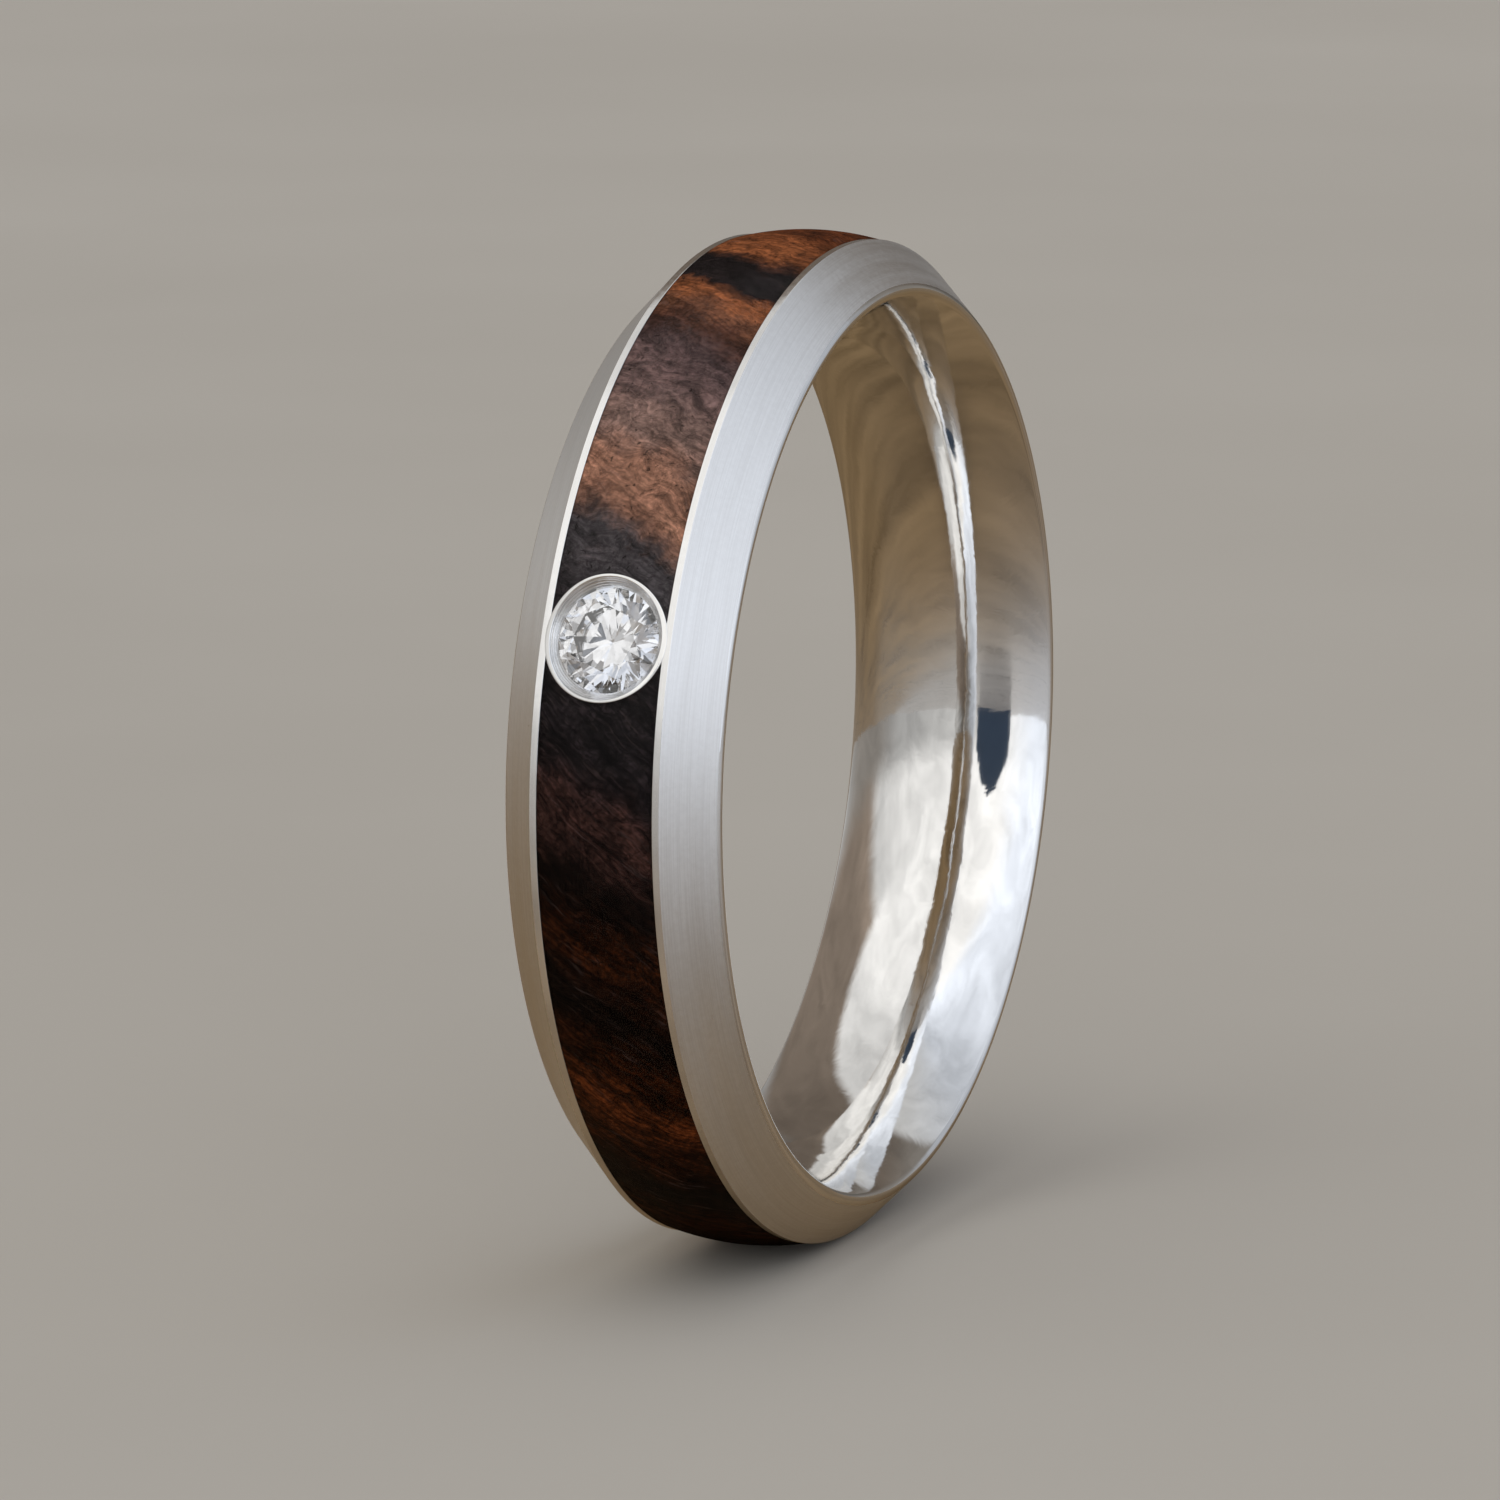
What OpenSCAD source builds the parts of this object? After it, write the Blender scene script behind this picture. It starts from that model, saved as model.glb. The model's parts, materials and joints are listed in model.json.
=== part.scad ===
// Wedding band: a comfort-fit liner, two bevelled edge rings, a burl wood inlay under a
// clear coat, and one brilliant set in a bezel cup. Millimetres.
// The ring stands upright. Its axis is X, Z is up, and the stone faces -Y, raised a little.
// The origin is the centre of the finger hole.

/* [Finger hole] */
// Diameter of the finger hole at its narrowest, on the flat land
finger_d = 16.92; // [16.5:0.02:17.3]
// Width of the flat land in the middle of the domed hole
land_w = 0.6; // [0.4:0.1:1]
// Radius of the rolled lip at each end of the liner
lip_r = 0.17; // [0.12:0.01:0.2]

/* [Band] */
// Overall width of the ring along its axis
band_w = 4.56; // [4.4:0.02:5]
// Outside diameter of the liner, which is the floor of the inlay channel
liner_d = 18.9; // [18.7:0.05:19]
// Diameter over the polished rims beside the inlay
rim_d = 20.6; // [20.5:0.05:21]
// Width of each polished rim
rim_w = 0.15; // [0.1:0.01:0.25]

/* [Inlay] */
// Width of the inlay channel
channel_w = 2.42; // [2.3:0.02:2.5]
// Height of the inlay's crown above the rims
crown_h = 0.15; // [0.1:0.01:0.2]
// Thickness of the adhesive under the wood
bond_t = 0.05; // [0.03:0.01:0.08]
// Thickness of the clear coat on the wood
coat_t = 0.06; // [0.04:0.01:0.1]

/* [Stone] */
// Girdle diameter of the brilliant
stone_d = 2.14; // [2:0.02:2.2]
// Angle that the stone stands above the horizontal
stone_lift = 20.2; // [0:0.1:90]
// Distance from the ring's axis to the top edge of the girdle
girdle_level = 10.13; // [10.08:0.01:10.14]
// Thickness of the girdle
girdle_t = 0.055; // [0.05:0.005:0.07]
// Width of the table as a share of the girdle diameter
table_share = 0.6; // [0.54:0.01:0.64]
// Angle of the crown's main facets
crown_angle = 33; // [31:0.5:35]
// Angle of the pavilion's main facets
pavilion_angle = 40.75; // [40:0.25:41.5]

/* [Bezel] */
// Outside diameter of the bezel cup
bezel_d = 2.55; // [2.5:0.01:2.7]
// Height of the bezel's rim above the crown of the inlay
bezel_proud = 0.02; // [0:0.01:0.04]
// Width of the burnished edge that covers the girdle
grip_w = 0.03; // [0.02:0.005:0.05]
// Widening of the bright-cut inner wall for each millimetre of height
wall_flare = 0.75; // [0.6:0.05:0.9]
// Diameter of the stem under the cup
stem_d = 1.4; // [1.2:0.1:1.6]
// Distance from the ring's axis to the bottom of the stem
stem_level = 8.9; // [8.8:0.02:9]

/* [Hidden] */

$fn = 192;

// Radii of the diameters above
finger_r = finger_d / 2;
liner_r = liner_d / 2;
rim_r = rim_d / 2;
bezel_r = bezel_d / 2;
stem_r = stem_d / 2;
stone_r = stone_d / 2;
crown_r = rim_r + crown_h;

// The rolled lip meets the bevel at 45 degrees, on the liner's outside
lip_s = band_w / 2 - lip_r;
lip_level = liner_r - lip_r * sin(45);
bevel_end = lip_s + lip_r * cos(45);
rim_end = channel_w / 2 + rim_w;

// The domed hole is one arc, which runs into both lips without a corner
dome_rise = lip_level - finger_r;
dome_r = (lip_s * lip_s + dome_rise * dome_rise - lip_r * lip_r) / (2 * (dome_rise - lip_r));
land_sag = dome_r - sqrt(dome_r * dome_r - land_w * land_w / 4);
dome_level = finger_r - land_sag + dome_r;
dome_end = dome_r * lip_s / (dome_r - lip_r);

// The crown of the inlay is one arc from rim to rim
crown_arc_r = (channel_w * channel_w / 4 + crown_h * crown_h) / (2 * crown_h);
crown_level = crown_r - crown_arc_r;

// Heights in the stone and in its cup, measured from the ring's axis
grip_level = girdle_level + grip_w * tan(crown_angle) + 0.002;
girdle_foot = girdle_level - girdle_t;
culet_level = girdle_foot - stone_r * tan(pavilion_angle);
cup_floor = culet_level - 0.05;
cup_foot = liner_r - 0.1;
seat_clearance = 0.005;
well_r = stone_r + seat_clearance - (girdle_foot - cup_floor);
well_floor_r = max(well_r, 0.1);
above = rim_r + 1;

// The brilliant cut: an octagonal table, and sixteen points round the girdle. The star facets
// end half way out to the girdle, and the lower girdle facets reach well down to the culet.
step = 22.5;
star_share = 0.5;
lower_share = 0.78;
table_edge = stone_r * table_share * cos(step);
table_h = stone_r * (1 - table_share) * tan(crown_angle);
star_tip = table_edge + star_share * (stone_r - table_edge);
lower_tip = stone_r * (1 - lower_share);

// Turns a profile, drawn as distance from the axis and place along it, about the ring's axis
module around_ring() { rotate([0, 90, 0]) rotate_extrude() children(); }

// Moves to the stone: its Z leaves the ring through the middle of the table
module at_stone() { rotate([90 - stone_lift, 0, 0]) children(); }

// A strip of the ring's section between two distances from the axis
module strip(inner, outer, width) {
    translate([inner, -width / 2]) square([outer - inner, width]);
}

// Everything under the crown's arc, raised or lowered by shift
module under_crown(shift) { translate([crown_level, 0]) circle(r = crown_arc_r + shift); }

// The hole that takes the bezel cup, down to its foot
module cup_bore() { at_stone() translate([0, 0, cup_foot]) cylinder(r = bezel_r, h = 2); }

module liner_section() {
    intersection() {
        strip(finger_r, liner_r, 2 * dome_end);
        translate([dome_level, 0]) circle(r = dome_r);
    }
    intersection() {
        strip(finger_r, liner_r, band_w);
        for (side = [-1, 1])
            translate([lip_level, side * lip_s]) circle(r = lip_r);
    }
}

module edge_section(side) {
    polygon([
        [liner_r, side * channel_w / 2],
        [rim_r, side * channel_w / 2],
        [rim_r, side * rim_end],
        [liner_r, side * bevel_end]
    ]);
}

module coat_section() {
    intersection() {
        strip(rim_r - 1, crown_r + 1, channel_w);
        difference() {
            under_crown(0);
            under_crown(-coat_t);
        }
    }
}

module wood_section() {
    intersection() {
        strip(liner_r + bond_t, crown_r, channel_w);
        under_crown(-coat_t);
    }
}

// The cup's own section: stem, foot, outside, bright-cut wall, girdle seat and well
module cup_section() {
    polygon([
        [0, stem_level],
        [stem_r, stem_level],
        [stem_r, cup_foot],
        [bezel_r, cup_foot],
        [bezel_r, above],
        [stone_r - grip_w + wall_flare * (above - grip_level), above],
        [stone_r - grip_w, grip_level],
        [stone_r + seat_clearance, girdle_level],
        [stone_r + seat_clearance, girdle_foot],
        [well_floor_r, cup_floor],
        [0, cup_floor]
    ]);
}

module comfort_liner() color("gainsboro") difference() {
    around_ring() liner_section();
    cup_bore();
    at_stone() translate([0, 0, stem_level]) cylinder(r = stem_r, h = 1);
}

module edge_ring(side) difference() {
    around_ring() edge_section(side);
    cup_bore();
}

module edge_ring_left() color("silver") edge_ring(-1);

module edge_ring_right() color("silver") edge_ring(1);

module inlay_bond() color("darkkhaki") difference() {
    around_ring() strip(liner_r, liner_r + bond_t, channel_w);
    cup_bore();
}

// One length of the wood, half way round from the bezel: side 1 runs over the top, -1 under
module wood_inlay(side) difference() {
    intersection() {
        around_ring() wood_section();
        at_stone() translate([-band_w, side > 0 ? 0 : -rim_d, -rim_d])
            cube([2 * band_w, rim_d, 2 * rim_d]);
    }
    cup_bore();
}

module wood_inlay_upper() color("sienna") wood_inlay(1);

module wood_inlay_lower() color("#3a211c") wood_inlay(-1);

module clear_coat() color("wheat", 0.4) difference() {
    around_ring() coat_section();
    cup_bore();
}

module bezel_cup() color("whitesmoke") intersection() {
    at_stone() rotate_extrude() cup_section();
    around_ring() intersection() {
        strip(finger_r, above, 2 * band_w);
        under_crown(bezel_proud);
    }
}

// Cuts one facet: all above the plane that leans out by angle at this reach and height
module facet_cut(turn, angle, reach, height) {
    rotate([0, 0, turn]) translate([reach, 0, height]) rotate([0, angle, 0])
        translate([-stone_d, -stone_d, 0]) cube(2 * stone_d);
}

// One side of the brilliant: mains every 45 degrees, with two girdle facets between them,
// which meet each other at the distance meet from the stone's axis
module main_and_girdle_cuts(main_angle, meet) {
    meet_h = (stone_r - meet * cos(step)) * tan(main_angle);
    girdle_angle = atan(meet_h / ((stone_r - meet) * cos(step / 2)));
    for (k = [0:7])
        facet_cut(45 * k, main_angle, stone_r, 0);
    for (k = [0:15])
        facet_cut(step * (k + 0.5), girdle_angle, stone_r * cos(step / 2), 0);
}

module star_cuts() {
    tip_h = (stone_r - star_tip * cos(step)) * tan(crown_angle);
    star_angle = atan((table_h - tip_h) / (star_tip - table_edge));
    for (k = [0:7])
        facet_cut(45 * k + step, star_angle, table_edge, table_h);
}

module brilliant_stone() color("azure") at_stone() difference() {
    translate([0, 0, culet_level])
        cylinder(r = stone_r, h = girdle_level + table_h - culet_level);
    translate([0, 0, girdle_level]) {
        main_and_girdle_cuts(crown_angle, star_tip);
        star_cuts();
    }
    translate([0, 0, girdle_foot]) mirror([0, 0, 1])
        main_and_girdle_cuts(pavilion_angle, lower_tip);
}

comfort_liner();
edge_ring_left();
edge_ring_right();
inlay_bond();
wood_inlay_upper();
wood_inlay_lower();
clear_coat();
bezel_cup();
brilliant_stone();
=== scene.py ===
"""The looks of the wedding band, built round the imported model.

The ring's axis is X, Z is up, and the stone faces -Y, raised by STONE_LIFT. Lengths with no
unit in their names are in metres. A profile point is (s, r): its place along the ring's axis,
and its distance from it. A stone point is (x, v, u): v runs round the ring and u out of it.
"""

import json
import math

import bmesh
import bpy
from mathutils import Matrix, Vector


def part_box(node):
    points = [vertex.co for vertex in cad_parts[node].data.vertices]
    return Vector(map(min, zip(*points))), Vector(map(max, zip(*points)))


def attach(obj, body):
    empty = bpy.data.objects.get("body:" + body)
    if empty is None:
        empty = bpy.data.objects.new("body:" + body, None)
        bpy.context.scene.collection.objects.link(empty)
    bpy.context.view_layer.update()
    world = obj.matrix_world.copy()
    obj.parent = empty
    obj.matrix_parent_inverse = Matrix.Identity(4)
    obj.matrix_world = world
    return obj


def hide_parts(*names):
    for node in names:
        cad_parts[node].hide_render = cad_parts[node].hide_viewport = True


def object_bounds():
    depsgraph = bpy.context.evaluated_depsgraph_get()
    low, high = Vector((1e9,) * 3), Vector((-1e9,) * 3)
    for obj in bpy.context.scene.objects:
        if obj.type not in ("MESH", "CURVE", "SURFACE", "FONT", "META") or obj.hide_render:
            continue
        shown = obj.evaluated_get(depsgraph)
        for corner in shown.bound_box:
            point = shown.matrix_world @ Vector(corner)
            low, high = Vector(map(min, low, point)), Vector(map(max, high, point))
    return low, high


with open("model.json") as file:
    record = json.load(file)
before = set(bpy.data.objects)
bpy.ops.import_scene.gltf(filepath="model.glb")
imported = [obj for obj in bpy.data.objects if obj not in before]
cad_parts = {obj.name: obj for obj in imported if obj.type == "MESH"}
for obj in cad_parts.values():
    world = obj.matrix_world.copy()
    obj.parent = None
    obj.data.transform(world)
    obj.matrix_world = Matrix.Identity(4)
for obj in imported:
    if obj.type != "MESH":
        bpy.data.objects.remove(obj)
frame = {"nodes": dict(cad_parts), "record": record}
cad_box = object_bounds()

MM = 0.001
ROOT = "root"

# Driving sizes read from the frame
HALF_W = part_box("comfort_liner")[1].x
LINER_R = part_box("comfort_liner")[1].z
RIM_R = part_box("edge_ring_right")[1].z
BEVEL_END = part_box("edge_ring_right")[1].x
CHANNEL_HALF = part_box("clear_coat")[1].x
CROWN_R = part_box("clear_coat")[1].z
FLOOR_Z = cad_box[0].z
BORE = next(m for m in frame["record"]["mounts"] if m["name"] == "finger_bore")
FINGER_R = BORE["dims"]["r_mm"] * MM

# Driving sizes of the rolled lip, the rims and the layers of the inlay
LIP_R = 0.17 * MM
LIP_JOINT = math.radians(45)
RIM_W = 0.15 * MM
BOND_T = 0.05 * MM
COAT_T = 0.06 * MM

# Details finer than the CAD: the rims' rounding, the wood's seam and the gap under the coat
EDGE_ROUND = 0.02 * MM
SEAM_GAP = 0.006 * MM
COAT_GAP = 0.0015 * MM

# The stone and its cup, as levels above the ring's axis and radii about the stone's own axis
STONE_LIFT = math.radians(20.2)
STONE_R = 1.07 * MM
BEZEL_R = 1.275 * MM
STEM_R = 0.7 * MM
STEM_LEVEL = 8.9 * MM
CUP_FOOT = LINER_R - 0.1 * MM
GIRDLE_LEVEL = 10.13 * MM
GIRDLE_T = 0.055 * MM
TABLE_SHARE = 0.6
STAR_SHARE = 0.5
LOWER_SHARE = 0.78
CROWN_ANGLE = math.radians(33)
PAVILION_ANGLE = math.radians(40.75)
GRIP_W = 0.03 * MM
GRIP_RISE = 0.002 * MM
SEAT_CLEARANCE = 0.005 * MM
WELL_CLEARANCE = 0.05 * MM
LEAST_WELL_R = 0.1 * MM
BEZEL_PROUD = 0.02 * MM
WALL_FLARE = 0.75
RIM_ROUND = 0.012 * MM
MOUTH_INSET = RIM_ROUND * 0.4
MOUTH_DROP = RIM_ROUND * 0.5

# The graver's lines in the bright-cut wall: how deep, how many, and where their wave starts
GRAVER_LINES = [(0.0016 * MM, 9, 0.0), (0.0012 * MM, 23, 1.0)]

TURN = 2 * math.pi
RING_STEPS = 720
DOME_STEPS = 72
LIP_STEPS = 20
ROUND_STEPS = 6
NOTCH_STEPS = 10
BEVEL_STEPS = 24
INLAY_STEPS = 32
CUP_STEPS = 288
CUP_SIDE_STEPS = 6
CUP_EDGE_STEPS = 5
WALL_ROUNDS = 12
WALL_STEPS = 60
POCKET_STEPS = 96
GIRDLE_SIDES = 96
FACET_STEP = TURN / 16
SHARP_ANGLE = math.radians(30)

# Points closer than SAME_PLACE become one, and edges shorter than THINNEST are dissolved. A
# lathe's end points stand ON_AXIS from its axis, and FULL_TURN is the least angle that closes.
SAME_PLACE = 1e-8
THINNEST = 1e-9
ON_AXIS = 0.001 * MM
FULL_TURN = TURN - 1e-9


# ---------------------------------------------------------------- profiles and meshes

def arc(centre, radius, start, end, steps):
    """Points of an arc as (s, r). The angles are measured from +s towards +r."""
    angles = [start + (end - start) * i / steps for i in range(steps + 1)]
    return [(centre[0] + radius * math.cos(a), centre[1] + radius * math.sin(a)) for a in angles]


def crown_arc():
    """Radius and centre level of the arc that crowns the inlay from rim to rim."""
    rise = CROWN_R - RIM_R
    radius = (CHANNEL_HALF ** 2 + rise ** 2) / (2 * rise)
    return radius, CROWN_R - radius


CROWN_ARC_R, CROWN_LEVEL = crown_arc()


def crown(s, shift):
    """Distance from the axis of the crown, raised or lowered by shift."""
    return CROWN_LEVEL + math.sqrt((CROWN_ARC_R + shift) ** 2 - s ** 2)


def around(s, r, angle):
    """A ring point. The angle is measured from the stone, towards the top."""
    turned = angle + STONE_LIFT
    return Vector((s, -r * math.cos(turned), r * math.sin(turned)))


def from_stone(x, v, u):
    """A stone point in the frame."""
    along = Vector((0, math.sin(STONE_LIFT), math.cos(STONE_LIFT)))
    out = Vector((0, -math.cos(STONE_LIFT), math.sin(STONE_LIFT)))
    return Vector((x, 0, 0)) + along * v + out * u


def bezel_angle(s, r):
    """Half the angle that the bezel takes out of a ring of radius r at s."""
    gap = BEZEL_R ** 2 - s ** 2
    return math.asin(math.sqrt(gap) / r) if gap > 0 else 0.0


def finish_mesh(name, bm, materials, flat=False):
    """Turns a bmesh into an object with those materials, smooth up to SHARP_ANGLE or flat."""
    bmesh.ops.remove_doubles(bm, verts=bm.verts, dist=SAME_PLACE)
    bmesh.ops.dissolve_degenerate(bm, edges=bm.edges, dist=THINNEST)
    bmesh.ops.recalc_face_normals(bm, faces=bm.faces)
    mesh = bpy.data.meshes.new(name)
    bm.to_mesh(mesh)
    bm.free()
    if flat:
        mesh.shade_flat()
    else:
        mesh.shade_smooth()
        mesh.set_sharp_from_angle(angle=SHARP_ANGLE)
    for material in materials:
        mesh.materials.append(material)
    piece = bpy.data.objects.new(name, mesh)
    bpy.context.scene.collection.objects.link(piece)
    return piece


def revolve(name, profile, materials):
    """A closed profile of (s, r) points, turned once round the ring's axis."""
    bm = bmesh.new()
    rings = []
    for k in range(RING_STEPS):
        angle = TURN * k / RING_STEPS
        rings.append([bm.verts.new(around(s, r, angle)) for s, r in profile])
    count = len(profile)
    for k in range(RING_STEPS):
        here, there = rings[k], rings[(k + 1) % RING_STEPS]
        for i in range(count):
            j = (i + 1) % count
            bm.faces.new((here[i], here[j], there[j], there[i]))
    return finish_mesh(name, bm, materials)


def layer(name, stations, materials, start, end, steps, skin_of=None):
    """A solid layer of the ring between two surfaces.

    stations lists (s, inner r, outer r). start and end give the angles at which a line of
    the surface at (s, r) begins and ends. skin_of gives a material index for an outer strip.
    """
    bm = bmesh.new()
    hidden = len(materials) - 1

    def line(s, r):
        a, b = start(s, r), end(s, r)
        angles = [a + (b - a) * k / steps for k in range(steps + 1)]
        return [bm.verts.new(around(s, r, angle)) for angle in angles]

    inner = [line(s, low) for s, low, high in stations]
    outer = [line(s, high) for s, low, high in stations]

    def strip(here, there, index):
        for k in range(len(here) - 1):
            face = bm.faces.new((here[k], here[k + 1], there[k + 1], there[k]))
            face.material_index = index

    last = len(stations) - 1
    for i in range(last):
        strip(outer[i], outer[i + 1], skin_of(i) if skin_of else 0)
        strip(inner[i + 1], inner[i], hidden)
        s, low, high = stations[i]
        if abs(end(s, low) - start(s, low)) > FULL_TURN:
            continue  # this strip closes on itself
        for k in (0, steps):
            face = bm.faces.new((inner[i][k], inner[i + 1][k], outer[i + 1][k], outer[i][k]))
            face.material_index = hidden
    strip(inner[0], outer[0], hidden)
    strip(outer[last], inner[last], hidden)
    return finish_mesh(name, bm, materials)


def lathe_stone(name, section, materials, steps=CUP_STEPS):
    """A closed lathe about the stone's axis. section(angle) lists (radius, level) points."""
    bm = bmesh.new()
    rings = []
    for k in range(steps):
        angle = TURN * k / steps
        c, d = math.cos(angle), math.sin(angle)
        rings.append([bm.verts.new(from_stone(q * c, q * d, u)) for q, u in section(angle)])
    for k in range(steps):
        here, there = rings[k], rings[(k + 1) % steps]
        for i in range(len(here) - 1):
            bm.faces.new((here[i], here[i + 1], there[i + 1], there[i]))
    bm.faces.new([ring[0] for ring in rings])
    bm.faces.new([ring[-1] for ring in reversed(rings)])
    return finish_mesh(name, bm, materials)


def cut(piece, cutter):
    """Takes one solid out of another, and deletes the cutter."""
    modifier = piece.modifiers.new("cut", "BOOLEAN")
    modifier.operation = "DIFFERENCE"
    modifier.solver = "EXACT"
    modifier.object = cutter
    graph = bpy.context.evaluated_depsgraph_get()
    mesh = bpy.data.meshes.new_from_object(piece.evaluated_get(graph))
    piece.modifiers.clear()
    piece.data = mesh
    bpy.data.objects.remove(cutter)
    return piece


def place(piece, slot, *nodes):
    """Hides the CAD nodes that a finished piece stands for, and hangs the piece on the root body.
    slot is not used.
    """
    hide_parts(*nodes)
    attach(piece, ROOT)
    return piece


# ---------------------------------------------------------------- node graphs

NOMINAL_R_MM = 10.0

SILVER = (0.96, 0.955, 0.945)
SILVER_DULL = (0.83, 0.82, 0.805)
DIAMOND_IOR = 2.417
RESIN_IOR = 1.5
SHEEN_IOR = 1.33


class Graph:
    """Short calls for one material's nodes. Every vector that it makes is in millimetres."""

    def __init__(self, owner):
        """owner is the name of a new material, or the world."""
        named = isinstance(owner, str)
        self.material = bpy.data.materials.new(owner) if named else owner
        self.material.use_nodes = True
        self.tree = self.material.node_tree
        self.tree.nodes.clear()
        self.output = self.node("ShaderNodeOutputMaterial" if named else "ShaderNodeOutputWorld")

    def node(self, kind, inputs=None, **settings):
        made = self.tree.nodes.new(kind)
        for key, value in settings.items():
            setattr(made, key, value)
        for key, value in (inputs or {}).items():
            self.feed(made.inputs[key], value)
        return made

    def feed(self, socket, value):
        if isinstance(value, bpy.types.NodeSocket):
            self.tree.links.new(value, socket)
        else:
            socket.default_value = value

    def math(self, operation, *values):
        made = self.node("ShaderNodeMath", operation=operation)
        for socket, value in zip(made.inputs, values):
            self.feed(socket, value)
        return made.outputs[0]

    def vector(self, x, y, z):
        return self.node("ShaderNodeCombineXYZ", {"X": x, "Y": y, "Z": z}).outputs[0]

    def noise(self, vector, scale, detail=2.0, roughness=0.5, distortion=0.0):
        values = {"Vector": vector, "Scale": scale, "Detail": detail,
                  "Roughness": roughness, "Distortion": distortion}
        return self.node("ShaderNodeTexNoise", values).outputs["Fac"]

    def remap(self, value, low, high, new_low, new_high, smooth=False):
        kind = "SMOOTHSTEP" if smooth else "LINEAR"
        values = {"Value": value, "From Min": low, "From Max": high,
                  "To Min": new_low, "To Max": new_high}
        return self.node("ShaderNodeMapRange", values, interpolation_type=kind).outputs[0]

    def mix(self, share, a, b, blend="MIX"):
        made = self.node("ShaderNodeMix", data_type="RGBA", blend_type=blend)
        self.feed(made.inputs["Factor"], share)
        colours = [s for s in made.inputs if s.type == "RGBA"]
        self.feed(colours[0], a)
        self.feed(colours[1], b)
        return next(s for s in made.outputs if s.type == "RGBA")

    def ramp(self, value, stops, interpolation="EASE"):
        made = self.node("ShaderNodeValToRGB", {"Fac": value})
        ramp = made.color_ramp
        ramp.interpolation = interpolation
        while len(ramp.elements) < len(stops):
            ramp.elements.new(1.0)
        for element, (place_at, colour) in zip(ramp.elements, stops):
            element.position = place_at
            element.color = (*colour, 1.0)
        return made.outputs["Color"]

    def bump(self, height, distance, strength=1.0, normal=None):
        values = {"Height": height, "Distance": distance, "Strength": strength}
        if normal is not None:
            values["Normal"] = normal
        return self.node("ShaderNodeBump", values).outputs[0]

    def place_mm(self):
        """The point's own place, in millimetres."""
        coords = self.node("ShaderNodeTexCoord").outputs["Object"]
        scaled = self.node("ShaderNodeVectorMath", operation="SCALE")
        self.feed(scaled.inputs[0], coords)
        scaled.inputs["Scale"].default_value = 1 / MM
        return scaled.outputs[0]

    def ring_place(self):
        """s, the distance from the axis, and the way out from the axis as its Y and Z."""
        split = self.node("ShaderNodeSeparateXYZ", {"Vector": self.place_mm()})
        x, y, z = split.outputs
        squares = self.math("ADD", self.math("MULTIPLY", y, y), self.math("MULTIPLY", z, z))
        r = self.math("SQRT", squares)
        return x, r, (self.math("DIVIDE", y, r), self.math("DIVIDE", z, r))

    def surface(self, shader):
        self.tree.links.new(shader, self.output.inputs["Surface"])
        return self.material


def brush_lines(g, across, out, pitch, length):
    """Noise in lines that run round the ring: pitch across them and length along them, in mm."""
    reach = NOMINAL_R_MM / length
    lines = g.vector(g.math("MULTIPLY", across, 1.0 / pitch),
                     g.math("MULTIPLY", out[0], reach),
                     g.math("MULTIPLY", out[1], reach))
    return g.noise(lines, 1.0, detail=3.0, roughness=0.6)


def silver(g, tone, roughness, normal, anisotropic=0.0):
    """Polished or brushed silver. tone from 0 to 1 leads from the dull colour to the bright."""
    colour = g.mix(tone, (*SILVER_DULL, 1), (*SILVER, 1))
    shader = g.node("ShaderNodeBsdfPrincipled", {
        "Base Color": colour, "Metallic": 1.0, "Roughness": roughness,
        "Anisotropic": anisotropic, "Normal": normal})
    if anisotropic:
        tangent = g.node("ShaderNodeTangent", direction_type="RADIAL", axis="X")
        g.feed(shader.inputs["Tangent"], tangent.outputs[0])
    return g.surface(shader.outputs[0])


def mirror_silver():
    """The polished finger hole: nearly a mirror, with polishing lines and a faint waviness."""
    g = Graph("mirror_silver")
    s, _, out = g.ring_place()
    lines = brush_lines(g, s, out, 0.05, 6.0)
    clouds = g.noise(g.place_mm(), 0.7, detail=3.0)
    waves = g.noise(g.place_mm(), 0.55, detail=1.0, distortion=0.4)
    ripples = g.noise(g.place_mm(), 1.7, detail=2.0, distortion=0.8)
    roughness = g.math("ADD", g.remap(clouds, 0.3, 0.7, 0.03, 0.07),
                       g.remap(lines, 0.5, 0.8, 0.0, 0.05))
    wavy = g.bump(ripples, 0.0025 * MM, 1.0, g.bump(waves, 0.014 * MM))
    scratched = g.bump(lines, 0.0004 * MM, 0.6, wavy)
    return silver(g, g.remap(clouds, 0.2, 0.8, 0.4, 1.0), roughness, scratched)


def satin_silver():
    """The brushed bevels: lines round the ring, at three sizes."""
    g = Graph("satin_silver")
    _, r, out = g.ring_place()
    fine = brush_lines(g, r, out, 0.018, 3.0)
    middle = brush_lines(g, r, out, 0.06, 5.0)
    broad = brush_lines(g, r, out, 0.22, 9.0)
    grain = g.noise(g.place_mm(), 9.0, detail=3.0, roughness=0.7)
    height = g.math("ADD", g.math("MULTIPLY", fine, 0.5), g.math("MULTIPLY", middle, 0.5))
    roughness = g.math("ADD", g.remap(broad, 0.3, 0.7, 0.27, 0.34),
                       g.remap(grain, 0.3, 0.7, 0.0, 0.05))
    tone = g.math("MULTIPLY", g.remap(fine, 0.35, 0.65, 0.4, 1.1),
                  g.remap(grain, 0.35, 0.65, 0.7, 1.1))
    return silver(g, tone, roughness, g.bump(height, 0.0028 * MM, 0.8), anisotropic=0.45)


def rim_silver():
    """The narrow polished rims beside the inlay."""
    g = Graph("rim_silver")
    s, _, out = g.ring_place()
    lines = brush_lines(g, s, out, 0.03, 4.0)
    specks = g.noise(g.place_mm(), 6.0, detail=3.0)
    tone = g.remap(lines, 0.3, 0.7, 0.6, 1.0)
    roughness = g.remap(specks, 0.3, 0.7, 0.12, 0.22)
    return silver(g, tone, roughness, g.bump(specks, 0.002 * MM, 0.6))


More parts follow.
